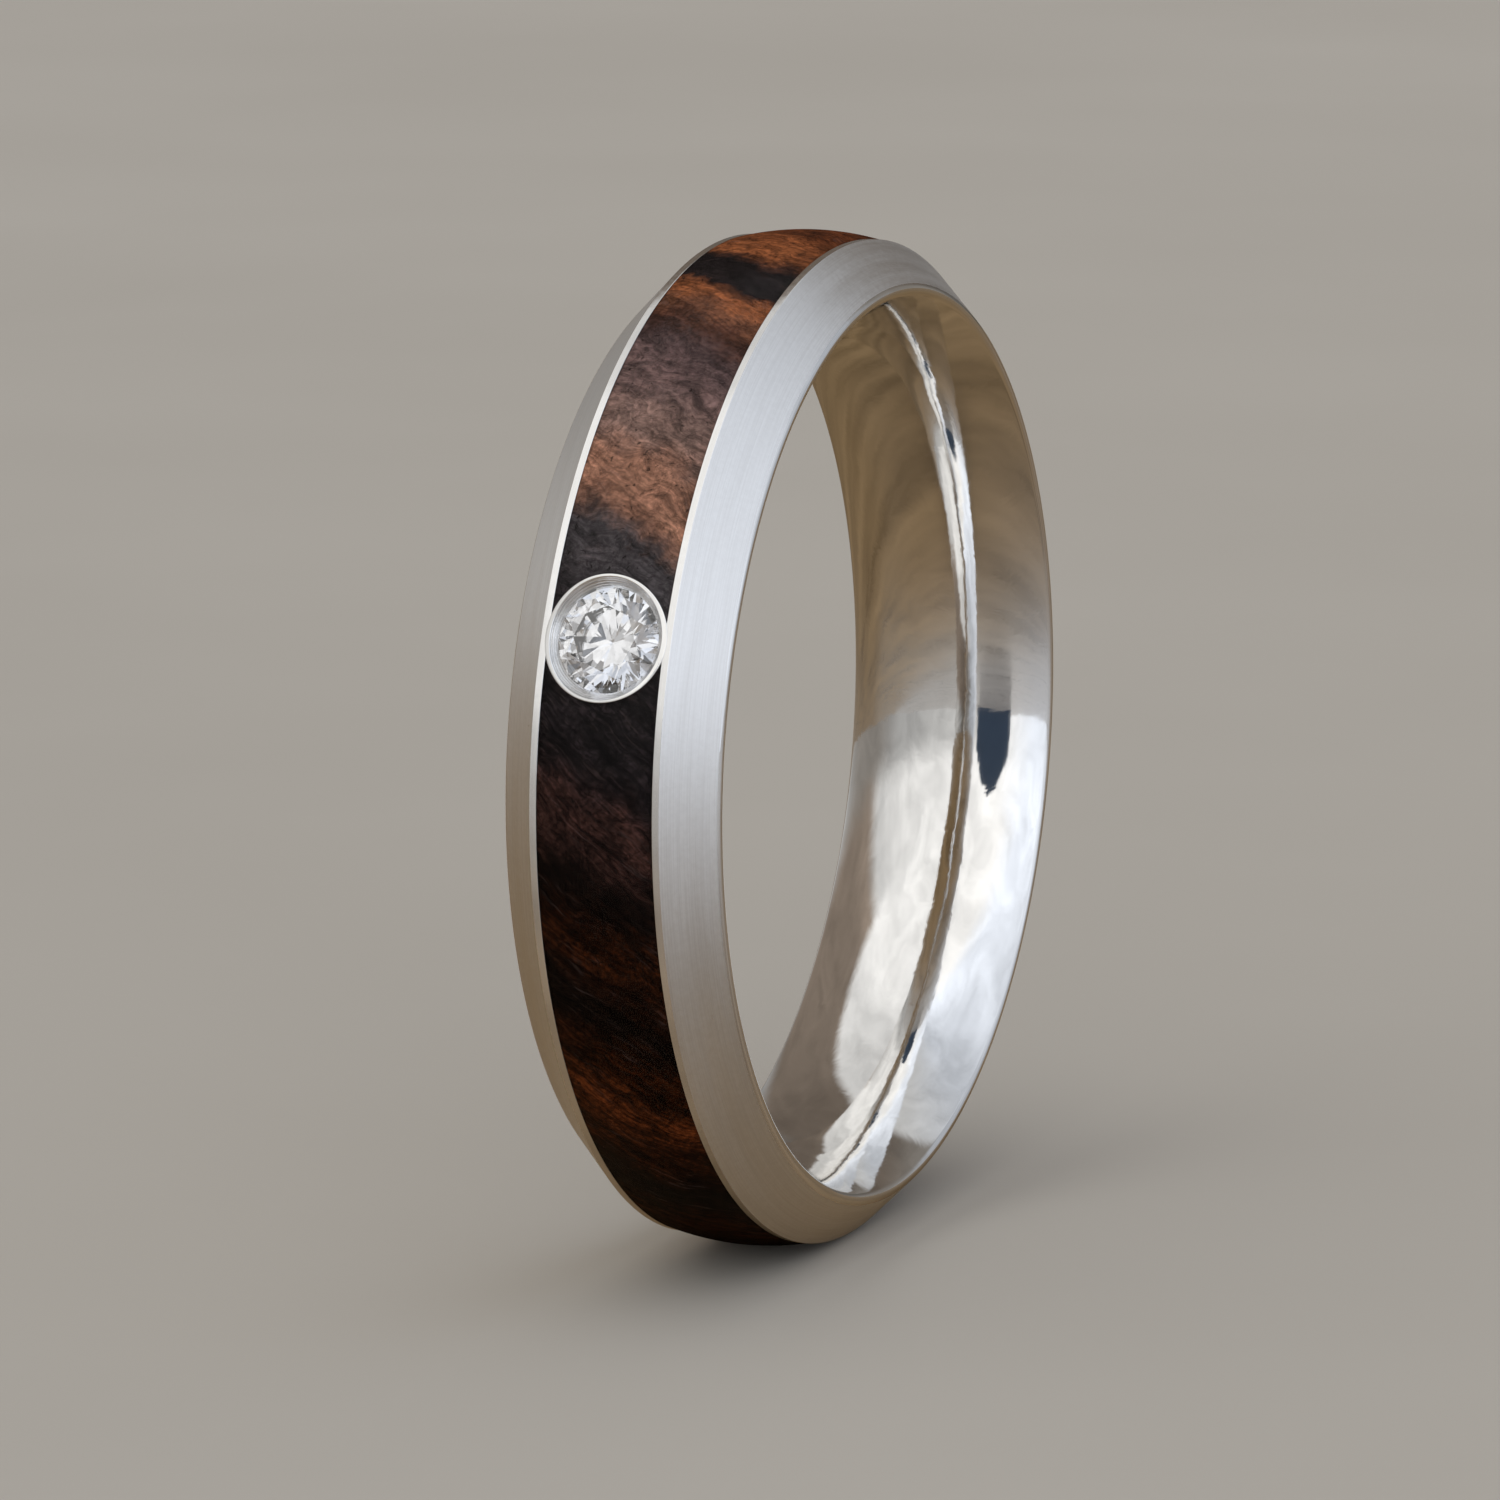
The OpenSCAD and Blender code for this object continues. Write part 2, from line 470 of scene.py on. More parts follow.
def bezel_silver():
    """The bright-cut bezel, with a faint grain."""
    g = Graph("bezel_silver")
    grain = g.noise(g.place_mm(), 12.0, detail=3.0, roughness=0.6)
    tone = g.remap(grain, 0.3, 0.7, 0.7, 1.0)
    roughness = g.remap(grain, 0.3, 0.7, 0.08, 0.2)
    return silver(g, tone, roughness, g.bump(grain, 0.0015 * MM, 0.6))


# ---------------------------------------------------------------- burl wood

CHARCOAL = (0.011, 0.008, 0.009)
SLATE = (0.060, 0.052, 0.055)
PLUM = (0.098, 0.060, 0.058)
DUSK = (0.140, 0.086, 0.078)
MAUVE = (0.225, 0.138, 0.112)
ROSE = (0.340, 0.165, 0.105)
UMBER = (0.078, 0.030, 0.018)
RUST = (0.175, 0.068, 0.034)
AMBER = (0.290, 0.092, 0.032)
RED_BROWN = (0.130, 0.036, 0.012)
MAROON = (0.034, 0.015, 0.012)
CHESTNUT = (0.088, 0.022, 0.0055)
COFFEE = (0.024, 0.006, 0.0015)
SOOT = (0.004, 0.0018, 0.0012)
FLECK = (0.22, 0.15, 0.14)
GLOSS = (0.34, 0.33, 0.32)

# The bands of the wood's colour, by the angle in degrees above -Y at which each colour is centred.
# Towards the ring's lower side the bands are also darker as painted shade, where less light falls.
WOOD_BANDS_AND_SHADE = [
    (-155, SOOT), (-134, UMBER), (-126, RUST), (-106, SOOT), (-86, UMBER), (-74, SOOT),
    (-62, COFFEE), (-52, SOOT), (-44, COFFEE), (-36, CHESTNUT), (-29, COFFEE), (-22, SOOT),
    (-15, COFFEE), (-9, SOOT), (0, MAROON), (6, CHARCOAL), (16, CHARCOAL), (30, SLATE),
    (34.5, ROSE), (40, ROSE), (46, MAUVE), (52, DUSK), (57, PLUM), (61, UMBER), (65, RUST),
    (68, AMBER), (71, CHARCOAL), (77, CHARCOAL), (81, AMBER), (92, RED_BROWN), (130, SOOT),
    (160, RUST)]
BAND_SLANT = 0.46


def wood_place(g):
    """The wood's flat coordinates in mm: s across the band and the arc from the stone."""
    split = g.node("ShaderNodeSeparateXYZ", {"Vector": g.place_mm()})
    x, y, z = split.outputs
    cos_lift, sin_lift = math.cos(STONE_LIFT), math.sin(STONE_LIFT)
    u = g.math("SUBTRACT", g.math("MULTIPLY", z, sin_lift), g.math("MULTIPLY", y, cos_lift))
    v = g.math("ADD", g.math("MULTIPLY", y, sin_lift), g.math("MULTIPLY", z, cos_lift))
    arc_length = g.math("MULTIPLY", g.math("ARCTAN2", v, u), CROWN_R / MM)
    return x, arc_length


def ridge(g, noise, width):
    """Thin lines where a noise crosses its middle value, by up to width."""
    away = g.math("ABSOLUTE", g.math("SUBTRACT", noise, 0.5))
    return g.remap(away, 0.0, width, 1.0, 0.0, True)


def band_colours_and_shade(g, x, arc_length, flat):
    """The bands of wood colour and painted shade, slanted across the ring and bent by a slow and a
    quick noise.
    """
    slow = g.math("SUBTRACT", g.noise(flat, 0.33, detail=1.0), 0.5)
    quick = g.math("SUBTRACT", g.noise(flat, 1.1, detail=4.0, roughness=0.7), 0.5)
    slant = g.math("MULTIPLY", x, BAND_SLANT)
    across = g.math("ADD", g.math("ADD", arc_length, slant),
                    g.math("ADD", g.math("MULTIPLY", slow, 1.4), g.math("MULTIPLY", quick, 1.5)))
    lift = math.degrees(STONE_LIFT)
    half_turn = math.pi * CROWN_R / MM
    stops = [((angle - lift) / 360 + 0.5, colour) for angle, colour in WOOD_BANDS_AND_SHADE]
    return g.ramp(g.remap(across, -half_turn, half_turn, 0.0, 1.0), stops)


def wood_shading(g, flat, fibre, rows, contrast):
    """Grey that darkens and lightens the figure: fibre, its broader rows, speckle and veins."""
    speckle = g.noise(flat, 9.0, detail=3.0, roughness=0.65)
    veins = ridge(g, g.noise(flat, 1.1, detail=5.0, roughness=0.65, distortion=0.7), 0.03)
    shade = g.math("MULTIPLY", g.remap(fibre, 0.34, 0.66, 0.70, 1.30),
                   g.remap(rows, 0.38, 0.62, 0.58, 1.38))
    shade = g.math("MULTIPLY", shade, g.remap(speckle, 0.35, 0.65, 0.72, 1.30))
    shade = g.math("MULTIPLY", shade, g.remap(veins, 0.0, 1.0, 1.0, 0.65))
    shade = g.math("POWER", shade, contrast)
    grey = g.node("ShaderNodeCombineColor", {"Red": shade, "Green": shade, "Blue": shade})
    return grey.outputs[0]


def burl_wood(name, seed, lean, wander, contrast, paleness):
    """Dark burl: bands of colour that also hold painted shade, wavy fibre, dark veins and pores,
    and pale strands.

    The fibre leans by lean, as arc over s, and a slow noise bends it by up to half of wander mm.
    contrast is the power of its shading, and paleness is how far the strands go towards FLECK.
    """
    g = Graph(name)
    x, arc_length = wood_place(g)
    flat = g.vector(x, arc_length, seed)
    # The band colours are the wood's own, and darkened towards the ring's lower side as painted
    # shade.
    figure_and_shade = band_colours_and_shade(g, x, arc_length, flat)
    swirl = g.math("SUBTRACT", g.noise(flat, 0.5, detail=3.0, roughness=0.55), 0.5)
    grain = g.math("ADD", g.math("ADD", arc_length, g.math("MULTIPLY", x, lean)),
                   g.math("MULTIPLY", swirl, wander))

    def along_grain(length, pitch, detail, distortion):
        """Noise drawn out along the grain: length and pitch of its streaks in mm."""
        place_at = g.vector(g.math("MULTIPLY", x, 1.0 / length),
                            g.math("MULTIPLY", grain, 1.0 / pitch), seed)
        return g.noise(place_at, 1.0, detail=detail, roughness=0.62, distortion=distortion)

    fibre = along_grain(0.55, 0.075, 3.0, 0.25)
    rows = along_grain(0.90, 0.34, 4.0, 0.35)
    shaded = g.mix(1.0, figure_and_shade, wood_shading(g, flat, fibre, rows, contrast), "MULTIPLY")

    strands = g.remap(along_grain(0.70, 0.13, 3.0, 0.5), 0.56, 0.72, 0.0, 1.0, True)
    patches = g.remap(g.noise(flat, 0.9, detail=2.0), 0.40, 0.62, 0.15, 1.0, True)
    strands = g.math("MULTIPLY", strands, patches)
    stranded = g.mix(g.math("MULTIPLY", strands, paleness), shaded, (*FLECK, 1))
    pores = g.remap(g.noise(flat, 6.0, detail=2.0, distortion=1.0), 0.64, 0.72, 0.0, 0.75, True)
    colour = g.mix(pores, stranded, (*SOOT, 1))

    shader = g.node("ShaderNodeBsdfPrincipled", {
        "Base Color": colour, "Roughness": g.remap(fibre, 0.3, 0.7, 0.45, 0.65),
        "Specular IOR Level": 0.04, "Normal": g.bump(fibre, 0.004 * MM, 0.5)})
    return g.surface(shader.outputs[0])


def clear_finish():
    """The coat's outer face: it bends the sight of the wood, and adds a soft, limited gloss."""
    g = Graph("clear_finish")
    s, _, out = g.ring_place()
    lines = brush_lines(g, s, out, 0.09, 2.5)
    specks = g.noise(g.place_mm(), 5.0, detail=3.0)
    roughness = g.math("ADD", g.remap(specks, 0.3, 0.7, 0.18, 0.26),
                       g.remap(lines, 0.4, 0.7, 0.0, 0.05))
    normal = g.bump(specks, 0.003 * MM, 0.5)
    gloss = g.node("ShaderNodeBsdfAnisotropic", {
        "Color": (*GLOSS, 1), "Roughness": roughness, "Normal": normal})
    clear = g.node("ShaderNodeBsdfRefraction", {
        "Roughness": g.remap(specks, 0.3, 0.7, 0.02, 0.06), "IOR": RESIN_IOR})
    fresnel = g.node("ShaderNodeFresnel", {"IOR": SHEEN_IOR, "Normal": normal}).outputs[0]
    share = g.math("MINIMUM", fresnel, g.remap(specks, 0.3, 0.7, 0.09, 0.13))
    mixed = g.node("ShaderNodeMixShader", {0: share, 1: clear.outputs[0], 2: gloss.outputs[0]})
    return g.surface(mixed.outputs[0])


def clear_inside():
    """The coat's hidden faces, which lie on the wood and let everything through."""
    g = Graph("clear_inside")
    tint = g.remap(g.noise(g.place_mm(), 2.0), 0.3, 0.7, 0.97, 1.0)
    colour = g.node("ShaderNodeCombineColor", {"Red": 1.0, "Green": tint, "Blue": tint}).outputs[0]
    return g.surface(g.node("ShaderNodeBsdfTransparent", {"Color": colour}).outputs[0])


def bond_resin():
    """The adhesive under the wood."""
    g = Graph("bond_resin")
    cloud = g.noise(g.place_mm(), 3.0, detail=3.0)
    colour = g.mix(cloud, (0.30, 0.24, 0.15, 1), (0.42, 0.36, 0.25, 1))
    shader = g.node("ShaderNodeBsdfPrincipled", {
        "Base Color": colour, "Roughness": g.remap(cloud, 0.3, 0.7, 0.35, 0.55)})
    return g.surface(shader.outputs[0])


def diamond():
    """The brilliant: clear, with faint clouds in its tint."""
    g = Graph("diamond")
    cloud = g.noise(g.place_mm(), 1.2, detail=2.0)
    colour = g.mix(cloud, (0.93, 0.96, 1.0, 1), (0.98, 0.98, 1.0, 1))
    shader = g.node("ShaderNodeBsdfPrincipled", {
        "Base Color": colour, "Roughness": 0.0, "IOR": DIAMOND_IOR, "Transmission Weight": 1.0})
    return g.surface(shader.outputs[0])


# ---------------------------------------------------------------- the band

def dome():
    """Radius and centre level of the arc of the domed finger hole, and where the lip takes over."""
    lip_s = HALF_W - LIP_R
    lip_level = LINER_R - LIP_R * math.sin(LIP_JOINT)
    rise = lip_level - FINGER_R
    radius = (lip_s ** 2 + rise ** 2 - LIP_R ** 2) / (2 * (rise - LIP_R))
    return radius, FINGER_R + radius, lip_s, lip_level


def liner_profile():
    """The domed hole, both rolled lips and the flat outside, as one closed loop."""
    radius, level, lip_s, lip_level = dome()
    spread = math.asin(lip_s / (radius - LIP_R))
    down = -math.pi / 2
    hole = arc((0, level), radius, down - spread, down + spread, DOME_STEPS)
    right = arc((lip_s, lip_level), LIP_R, down + spread, LIP_JOINT, LIP_STEPS)
    left = [(-s, r) for s, r in reversed(right)]
    return left[:-1] + hole + right[1:]


def pocket_section(angle):
    """The blind hole and the seat that the bezel cup takes out of the liner."""
    return [(ON_AXIS, STEM_LEVEL), (STEM_R, STEM_LEVEL), (STEM_R, CUP_FOOT),
            (BEZEL_R, CUP_FOOT), (BEZEL_R, RIM_R), (ON_AXIS, RIM_R)]


def make_liner(mirror):
    liner = revolve("liner_polished", liner_profile(), [mirror])
    pocket = lathe_stone("pocket", pocket_section, [mirror], POCKET_STEPS)
    return place(cut(liner, pocket), "polished_silver", "comfort_liner")


def edge_stations():
    """(s, inner r, outer r) across an edge ring from the channel out, and how many are polished.

    The flat of the rim has stations close together at BEZEL_R, where the bezel's notch ends.
    """
    rim_end = CHANNEL_HALF + RIM_W
    slope = math.atan2(RIM_R - LINER_R, BEVEL_END - rim_end)
    tuck = EDGE_ROUND * math.tan(slope / 2)
    centre = RIM_R - EDGE_ROUND
    up = math.pi / 2
    wall = arc((CHANNEL_HALF + EDGE_ROUND, centre), EDGE_ROUND, math.pi, up, ROUND_STEPS)
    shoulder = arc((rim_end - tuck, centre), EDGE_ROUND, up, up - slope, ROUND_STEPS)
    notch = BEZEL_R - wall[-1][0]
    flat = [(BEZEL_R - notch * (1 - i / NOTCH_STEPS) ** 2, RIM_R)
            for i in range(1, NOTCH_STEPS + 1)]
    top_s, top_r = shoulder[-1]
    bevel = [(top_s + (BEVEL_END - top_s) * i / BEVEL_STEPS,
              top_r + (LINER_R - top_r) * i / BEVEL_STEPS)
             for i in range(1, BEVEL_STEPS + 1)]
    polished = len(wall) + len(flat) + len(shoulder) - 2
    points = wall + flat + shoulder + bevel
    return [(s, LINER_R, r) for s, r in points], polished


def past_bezel(s, r):
    """The angle at which the line at (s, r) comes back to the bezel, once round the ring."""
    return TURN - bezel_angle(s, r)


def make_edge_ring(side, name, node, satin, polished):
    """side is 1 for the ring that faces +X and -1 for the other."""
    stations, polished_strips = edge_stations()
    mirrored = [(side * s, low, high) for s, low, high in stations]
    ring = layer(name, mirrored, [satin, polished], bezel_angle, past_bezel,
                 RING_STEPS, lambda i: 1 if i < polished_strips else 0)
    return place(ring, "satin_silver", node)


def inlay_stations(low, high):
    """(s, inner r, outer r) across the inlay, between two surfaces given as functions of s."""
    half = CHANNEL_HALF
    places = [-half + 2 * half * i / INLAY_STEPS for i in range(INLAY_STEPS + 1)]
    return [(s, low(s), high(s)) for s in places]


def make_wood(sign, name, node, material):
    """sign is 1 for the length that runs over the top, from the bezel to the seam, and -1 under."""
    stations = inlay_stations(lambda s: LINER_R + BOND_T, lambda s: crown(s, -COAT_T))
    half_gap = SEAM_GAP / 2 / CROWN_R
    wood = layer(name, stations, [material],
                 lambda s, r: sign * bezel_angle(s, r), lambda s, r: sign * (math.pi - half_gap),
                 RING_STEPS // 2)
    return place(wood, "burl_wood", node)


def make_coat(outside, inside):
    """The clear coat. Light reaches the wood as if it weren't there, as through thin resin."""
    stations = inlay_stations(lambda s: crown(s, COAT_GAP - COAT_T), lambda s: crown(s, 0))
    coat = layer("clear_coat_shell", stations, [outside, inside],
                 bezel_angle, past_bezel, RING_STEPS)
    coat.visible_diffuse = False
    coat.visible_shadow = False
    return place(coat, "clear_finish", "clear_coat")


# ---------------------------------------------------------------- the bezel and the stone

def rim_top(q, angle):
    """Level of the bezel's top at radius q about the stone: the crown, a little proud."""
    x, v = q * math.cos(angle), q * math.sin(angle)
    return math.sqrt(crown(x, BEZEL_PROUD) ** 2 - v ** 2)


def cup_levels():
    """Levels of the grip, the girdle's foot and the floor of the cup."""
    grip = GIRDLE_LEVEL + GRIP_W * math.tan(CROWN_ANGLE) + GRIP_RISE
    girdle_foot = GIRDLE_LEVEL - GIRDLE_T
    floor = girdle_foot - STONE_R * math.tan(PAVILION_ANGLE) - WELL_CLEARANCE
    return grip, girdle_foot, floor


def wall_top(angle, grip):
    """Radius at which the flared inner wall, which starts at the grip, meets the cup's top."""
    mouth = STONE_R - GRIP_W
    wall_r = mouth
    for _ in range(WALL_ROUNDS):
        wall_r = mouth + WALL_FLARE * (rim_top(wall_r, angle) - grip)
    return wall_r


def outside_and_top(angle, wall_r):
    """The cup's outside above its foot, the rounded edge, and the top in to the inner wall."""
    outer_top = rim_top(BEZEL_R, angle)
    rise = outer_top - RIM_ROUND - CUP_FOOT
    points = [(BEZEL_R, CUP_FOOT + rise * i / CUP_SIDE_STEPS)
              for i in range(1, CUP_SIDE_STEPS + 1)]
    for i in range(1, CUP_EDGE_STEPS + 1):
        a = math.pi / 2 * i / CUP_EDGE_STEPS
        points.append((BEZEL_R - RIM_ROUND * (1 - math.cos(a)),
                       outer_top - RIM_ROUND * (1 - math.sin(a))))
    start_q = BEZEL_R - RIM_ROUND
    inner_q = wall_r + MOUTH_INSET
    for i in range(1, CUP_SIDE_STEPS + 1):
        q = start_q + (inner_q - start_q) * i / CUP_SIDE_STEPS
        points.append((q, rim_top(q, angle)))
    return points


def bright_cut_wall(angle, wall_r, mouth, grip):
    """The inner wall from its softened top down to the grip, with the graver's lines in it."""
    top = rim_top(wall_r, angle) - MOUTH_DROP
    top_r = wall_r - WALL_FLARE * MOUTH_DROP
    points = [(wall_r, top)]
    for i in range(1, WALL_STEPS):
        share = i / WALL_STEPS
        groove = sum(depth * math.sin(share * TURN * count + start)
                     for depth, count, start in GRAVER_LINES)
        fade = math.sin(math.pi * share) ** 0.5
        points.append((top_r + (mouth - top_r) * share + groove * fade,
                       top - (top - grip) * share))
    return points


def cup_section(angle):
    """The cup's section at an angle round the stone, from the stem's foot to the well's floor."""
    grip, girdle_foot, floor = cup_levels()
    mouth = STONE_R - GRIP_W
    seat_r = STONE_R + SEAT_CLEARANCE
    well_r = max(seat_r - (girdle_foot - floor), LEAST_WELL_R)
    wall_r = wall_top(angle, grip)
    stem = [(ON_AXIS, STEM_LEVEL), (STEM_R, STEM_LEVEL), (STEM_R, CUP_FOOT), (BEZEL_R, CUP_FOOT)]
    seat = [(mouth, grip), (seat_r, GIRDLE_LEVEL), (seat_r, girdle_foot), (well_r, floor),
            (ON_AXIS, floor)]
    return (stem + outside_and_top(angle, wall_r) + bright_cut_wall(angle, wall_r, mouth, grip)
            + seat)


def make_bezel(material):
    cup = lathe_stone("bezel_bright_cut", cup_section, [material])
    return place(cup, "bright_silver", "bezel_cup")


def facet_planes(angle_main, meet):
    """(turn, lean, reach, height) of eight mains and the sixteen girdle facets between them."""
    meet_h = (STONE_R - meet * math.cos(FACET_STEP)) * math.tan(angle_main)
    half_step = FACET_STEP / 2
    lean = math.atan(meet_h / ((STONE_R - meet) * math.cos(half_step)))
    mains = [(2 * FACET_STEP * k, angle_main, STONE_R, 0.0) for k in range(8)]
    girdle = [(FACET_STEP * (k + 0.5), lean, STONE_R * math.cos(half_step), 0.0)
              for k in range(16)]
    return mains + girdle


def star_planes(table_edge, table_h, star_tip):
    """(turn, lean, reach, height) of the eight stars round the table."""
    tip_h = (STONE_R - star_tip * math.cos(FACET_STEP)) * math.tan(CROWN_ANGLE)
    lean = math.atan((table_h - tip_h) / (star_tip - table_edge))
    return [(2 * FACET_STEP * k + FACET_STEP, lean, table_edge, table_h) for k in range(8)]


def slice_off(bm, turn, lean, reach, height, base, flip):
    """Cuts one facet and closes the cut. flip is -1 for the pavilion."""
    c, d = math.cos(turn), math.sin(turn)
    point = Vector((reach * c, reach * d, base + flip * height))
    normal = Vector((math.sin(lean) * c, math.sin(lean) * d, flip * math.cos(lean)))
    geometry = bm.verts[:] + bm.edges[:] + bm.faces[:]
    result = bmesh.ops.bisect_plane(bm, geom=geometry, dist=THINNEST,
                                    plane_co=point, plane_no=normal, clear_outer=True)
    edges = [e for e in result["geom_cut"]
             if isinstance(e, bmesh.types.BMEdge) and e.is_boundary]
    if edges:
        bmesh.ops.edgeloop_fill(bm, edges=edges)


def make_stone(material):
    """A round brilliant cut from a drum: table, 8 stars, 8 and 8 mains, 16 and 16 girdle facets."""
    table_edge = STONE_R * TABLE_SHARE * math.cos(FACET_STEP)
    table_h = STONE_R * (1 - TABLE_SHARE) * math.tan(CROWN_ANGLE)
    star_tip = table_edge + STAR_SHARE * (STONE_R - table_edge)
    lower_tip = STONE_R * (1 - LOWER_SHARE)
    girdle_foot = GIRDLE_LEVEL - GIRDLE_T
    depth = STONE_R * math.tan(PAVILION_ANGLE)
    bm = bmesh.new()
    bmesh.ops.create_cone(bm, cap_ends=True, segments=GIRDLE_SIDES, radius1=STONE_R,
                          radius2=STONE_R, depth=table_h + GIRDLE_T + depth)
    middle = (GIRDLE_LEVEL + table_h + girdle_foot - depth) / 2
    bmesh.ops.translate(bm, verts=bm.verts, vec=(0, 0, middle))
    for plane in facet_planes(CROWN_ANGLE, star_tip) + star_planes(table_edge, table_h, star_tip):
        slice_off(bm, *plane, GIRDLE_LEVEL, 1)
    for plane in facet_planes(PAVILION_ANGLE, lower_tip):
        slice_off(bm, *plane, girdle_foot, -1)
    for vert in bm.verts:
        vert.co = from_stone(*vert.co)
    stone = finish_mesh("round_brilliant", bm, [material], flat=True)
    return place(stone, "diamond", "brilliant_stone")


# ---------------------------------------------------------------- studio

CAMERA_AZIMUTH, CAMERA_ELEVATION = 22.32, 10.36
CAMERA_DISTANCE = 0.15154
CAMERA_RIGHT, CAMERA_UP = -0.00089, -0.00025
LENS_MM, SENSOR_MM = 176.78, 36

# The navy card: where it stands, and its outline as (across, up) from its foot
CARD_AZIMUTH, CARD_DISTANCE = 18, 0.5
CARD_OUTLINE = [(-0.105, -0.01), (0.105, -0.01), (0.10, 0.09), (0.06, 0.17), (0.01, 0.20),
                (-0.05, 0.17), (-0.095, 0.09)]

# The pale floor: flat from the middle out, and curved up into a round wall at FLOOR_REACH
FLOOR_CENTRE, FLOOR_FLAT, FLOOR_REACH, FLOOR_CURVE, WALL_HEIGHT = 0.02, 0.2, 1.0, 0.4, 1.6
FLOOR_SIDES, CURVE_STEPS = 96, 16
FLOOR_TONES = [(0.59, 0.55, 0.49), (0.61, 0.57, 0.51)]

# The table that the ring mirrors: two tones close to it, and two towards the windows, lighter and
# more neutral as a painted sheen of the windows
TABLE_REACH, TABLE_GRID, TABLE_DROP = 2.0, 8, 0.02 * MM
TABLE_NEAR = [(0.155, 0.100, 0.046), (0.38, 0.255, 0.130)]
TABLE_FAR = [(0.32, 0.29, 0.26), (0.54, 0.505, 0.47)]
TABLE_AZIMUTH, TABLE_NEAR_MM, TABLE_FAR_MM = 35, -5.0, 45.0


def direction(azimuth, elevation):
    """The way from the ring to a place at these angles in degrees. 0 is -Y and 90 is +X."""
    a, e = math.radians(azimuth), math.radians(elevation)
    return Vector((math.sin(a) * math.cos(e), -math.cos(a) * math.cos(e), math.sin(e)))


# How bright the room looks by azimuth in degrees, with its tint: low down, at eye level, overhead
BROWN = (1.0, 0.80, 0.64)
WARM = (1.0, 0.92, 0.83)
PLAIN = (1.0, 0.99, 0.97)
COOL = (0.92, 0.97, 1.06)
ROOM_LOW = [
    (-180, 0.10, WARM), (-155, 0.14, WARM), (-143, 0.26, PLAIN), (-132, 0.34, PLAIN),
    (-118, 0.48, PLAIN), (-102, 0.44, PLAIN), (-86, 0.24, WARM), (-70, 0.22, WARM),
    (-47, 0.36, PLAIN), (-20, 0.50, PLAIN), (0, 0.62, PLAIN), (22, 0.95, PLAIN),
    (48, 0.90, COOL), (72, 0.76, COOL), (92, 0.70, COOL), (142, 0.40, COOL),
    (160, 0.20, WARM), (180, 0.10, WARM)]
ROOM_EYE = [
    (-180, 0.12, BROWN), (-150, 0.14, BROWN), (-115, 0.21, BROWN), (-86, 0.22, BROWN),
    (-76, 0.28, BROWN), (-65, 0.64, PLAIN), (-55, 0.78, PLAIN), (-25, 0.88, PLAIN),
    (2, 0.94, PLAIN), (22, 1.15, PLAIN), (48, 1.12, COOL), (72, 0.98, COOL),
    (92, 0.80, COOL), (124, 0.58, COOL), (142, 0.44, COOL), (157, 0.20, WARM),
    (180, 0.12, BROWN)]
ROOM_OVERHEAD = [
    (-180, 0.56, PLAIN), (-140, 0.62, PLAIN), (-110, 0.74, PLAIN), (-75, 0.88, PLAIN),
    (0, 0.96, PLAIN), (30, 1.04, PLAIN), (48, 1.03, COOL), (92, 0.80, COOL),
    (124, 0.62, COOL), (180, 0.52, PLAIN)]

# Where one level of the room gives way to the next, as the sine of the elevation. The edge of
# the ceiling dips at CEILING_AZIMUTH.
LOW_TO_EYE = (0.09, 0.28)
EYE_TO_OVERHEAD = (0.57, 0.65)
CEILING_AZIMUTH, CEILING_TILT = 45, 0.2


def along(g, vector, way):
    """How far a vector reaches along a fixed way."""
    return g.node("ShaderNodeVectorMath", {0: vector, 1: way},
                  operation="DOT_PRODUCT").outputs["Value"]


def make_world():
    """A soft room: wide windows in front and at the right, dim and warm behind, pale overhead."""
    world = bpy.data.worlds.new("room")
    bpy.context.scene.world = world
    g = Graph(world)
    way = g.node("ShaderNodeTexCoord").outputs["Generated"]
    x, y, z = g.node("ShaderNodeSeparateXYZ", {"Vector": way}).outputs
    azimuth = g.math("ARCTAN2", x, g.math("MULTIPLY", y, -1.0))
    share = g.remap(azimuth, -math.pi, math.pi, 0.0, 1.0)

    def round_room(places):
        return g.ramp(share, [(angle / 360 + 0.5, [level * tint for tint in tints])
                              for angle, level, tints in places])

    tilted = along(g, way, direction(CEILING_AZIMUTH, 0) * CEILING_TILT + Vector((0, 0, 1)))
    eye = g.remap(z, *LOW_TO_EYE, 0.0, 1.0, True)
    overhead = g.remap(tilted, *EYE_TO_OVERHEAD, 0.0, 1.0, True)
    room = g.mix(eye, round_room(ROOM_LOW), round_room(ROOM_EYE))
    room = g.mix(overhead, room, round_room(ROOM_OVERHEAD))
    clouds = g.noise(way, 3.5, detail=4.0, roughness=0.6, distortion=1.0)
    clouds = g.remap(clouds, 0.3, 0.7, 0.82, 1.16)
    g.surface(g.node("ShaderNodeBackground", {"Color": room, "Strength": clouds}).outputs[0])


def make_dark_card():
    """A navy card in front of the windows, which only reflections show."""
    g = Graph("navy_card")
    cloud = g.noise(g.place_mm(), 0.02)
    colour = g.mix(cloud, (0.09, 0.15, 0.26, 1), (0.12, 0.20, 0.34, 1))
    shader = g.node("ShaderNodeBsdfPrincipled", {"Base Color": colour, "Roughness": 0.7})
    foot = direction(CARD_AZIMUTH, 0) * CARD_DISTANCE
    side = direction(CARD_AZIMUTH + 90, 0)
    bm = bmesh.new()
    bm.faces.new([bm.verts.new(foot + side * across + Vector((0, 0, up)))
                  for across, up in CARD_OUTLINE])
    card = finish_mesh("navy_card", bm, [g.surface(shader.outputs[0])])
    card.visible_camera = False
    card.visible_diffuse = False


